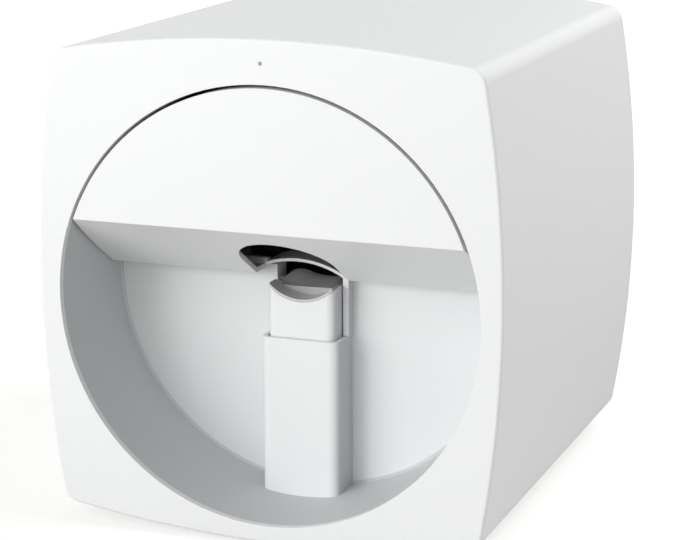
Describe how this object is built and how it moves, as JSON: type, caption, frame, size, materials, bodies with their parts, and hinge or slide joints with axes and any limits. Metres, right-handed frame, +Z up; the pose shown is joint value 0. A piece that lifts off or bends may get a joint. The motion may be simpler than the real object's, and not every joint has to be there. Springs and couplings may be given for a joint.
{
  "type": "digital nail art printer",
  "caption": "Desktop inkjet printer for painted nails: rounded box with a round front recess, a sloped lift-off cover and a sprung finger rest.",
  "frame": {"origin": "on the floor under the middle of the housing's bounding box", "axes": "+Z up, the front with the round recess faces -Y, +X is to the right seen from the front"},
  "size_m": [0.2, 0.212, 0.209],
  "materials": {
    "white_plastic": "fine satin white ABS",
    "grey_silicone": "soft matt silicone",
    "black_rubber": "matt black rubber",
    "plain_steel": "zinc plated steel",
    "spring_steel": "drawn spring wire",
    "rod_steel": "ground steel",
    "sheet_steel": "zinc coated sheet steel",
    "magnet_nickel": "nickel plated magnet",
    "brass": "turned brass",
    "black_plastic": "black moulded plastic",
    "motor_steel": "motor can",
    "cast_aluminium": "machined aluminium",
    "blue_plastic": "blue moulded lever",
    "lens_glass": "camera glass",
    "lamp_plastic": "clear diffusing plastic",
    "green_board": "solder resist",
    "grey_plastic": "grey moulded button"
  },
  "bodies": {
    "housing": {"main_shell": "white_plastic", "rear_panel": "white_plastic", "rear_screws": "plain_steel", "recess_liner": "white_plastic", "recess_back_wall": "white_plastic", "magnet_keepers": "sheet_steel", "finger_sleeve": "white_plastic", "finger_hood": "white_plastic", "post_spring": "spring_steel", "status_light_pipe": "lamp_plastic", "rubber_feet": "black_rubber", "chassis_base": "sheet_steel", "chassis_screws": "plain_steel", "front_bulkhead": "sheet_steel", "rear_bulkhead": "sheet_steel", "y_rods": "rod_steel", "y_motor": "motor_steel", "service_tray": "black_plastic", "cap_pad": "black_rubber", "light_bar": "lamp_plastic", "main_board": "green_board", "board_spacers": "brass", "dc_inlet": "black_plastic", "usb_port": "plain_steel", "button_housing": "black_plastic", "button_spring": "spring_steel"},
    "cover": {"visor_cover": "white_plastic", "cover_magnets": "magnet_nickel"},
    "post": {"finger_post": "white_plastic", "lift_carrier": "white_plastic", "finger_pad": "grey_silicone"},
    "gantry": {"gantry_frame": "cast_aluminium", "y_bushes": "brass", "y_nut": "black_plastic", "x_rods": "rod_steel", "idler_axle": "rod_steel", "x_belt": "black_rubber", "x_motor": "motor_steel"},
    "lead_screw": {"y_lead_screw": "rod_steel"},
    "carriage": {"x_carriage": "black_plastic", "x_bushes": "brass", "ink_cartridge": "black_plastic", "latch_pin": "rod_steel", "nail_camera": "black_plastic", "camera_lens": "lens_glass"},
    "latch": {"cartridge_latch": "blue_plastic"},
    "drive_pulley": {"x_drive_pulley": "cast_aluminium"},
    "idler_pulley": {"x_idler_pulley": "cast_aluminium"},
    "button": {"power_button": "grey_plastic"}
  },
  "joints": [
    {"name": "cover_pull", "type": "slide", "parent": "housing", "child": "cover", "axis": [0, -1, 0], "range_m": [0, 0.06]},
    {"name": "post_press", "type": "slide", "parent": "housing", "child": "post", "axis": [0, 0, 1], "range_m": [-0.012, 0], "stiffness_N_per_m": 300, "springref_m": 0.008, "deforming": ["post_spring"]},
    {"name": "gantry_slide", "type": "slide", "parent": "housing", "child": "gantry", "axis": [0, 1, 0], "range_m": [-0.016, 0.002]},
    {"name": "lead_screw_spin", "type": "hinge", "parent": "housing", "child": "lead_screw", "pos_m": [0, 0.03, 0.1095], "axis": [0, 1, 0], "range_deg": [-100, 730]},
    {"name": "carriage_slide", "type": "slide", "parent": "gantry", "child": "carriage", "axis": [1, 0, 0], "range_m": [-0.054, 0]},
    {"name": "drive_pulley_spin", "type": "hinge", "parent": "gantry", "child": "drive_pulley", "pos_m": [0.053, 0.015, 0.14], "axis": [0, 1, 0], "range_deg": [-400, 10]},
    {"name": "idler_pulley_spin", "type": "hinge", "parent": "gantry", "child": "idler_pulley", "pos_m": [-0.053, 0.015, 0.14], "axis": [0, 1, 0], "range_deg": [-400, 10]},
    {"name": "latch_lift", "type": "hinge", "parent": "carriage", "child": "latch", "pos_m": [0.04, -0.0114, 0.1614], "axis": [-1, 0, 0], "range_deg": [0, 80]},
    {"name": "power_press", "type": "slide", "parent": "housing", "child": "button", "axis": [0, -1, 0], "range_m": [0, 0.0015], "stiffness_N_per_m": 700, "springref_m": -0.001, "deforming": ["button_spring"]}
  ],
  "couplings": [
    {"joint": "lead_screw_spin", "follows": "gantry_slide", "rad_per_m": -785.4},
    {"joint": "drive_pulley_spin", "follows": "carriage_slide", "rad_per_m": 125},
    {"joint": "idler_pulley_spin", "follows": "carriage_slide", "rad_per_m": 125}
  ]
}
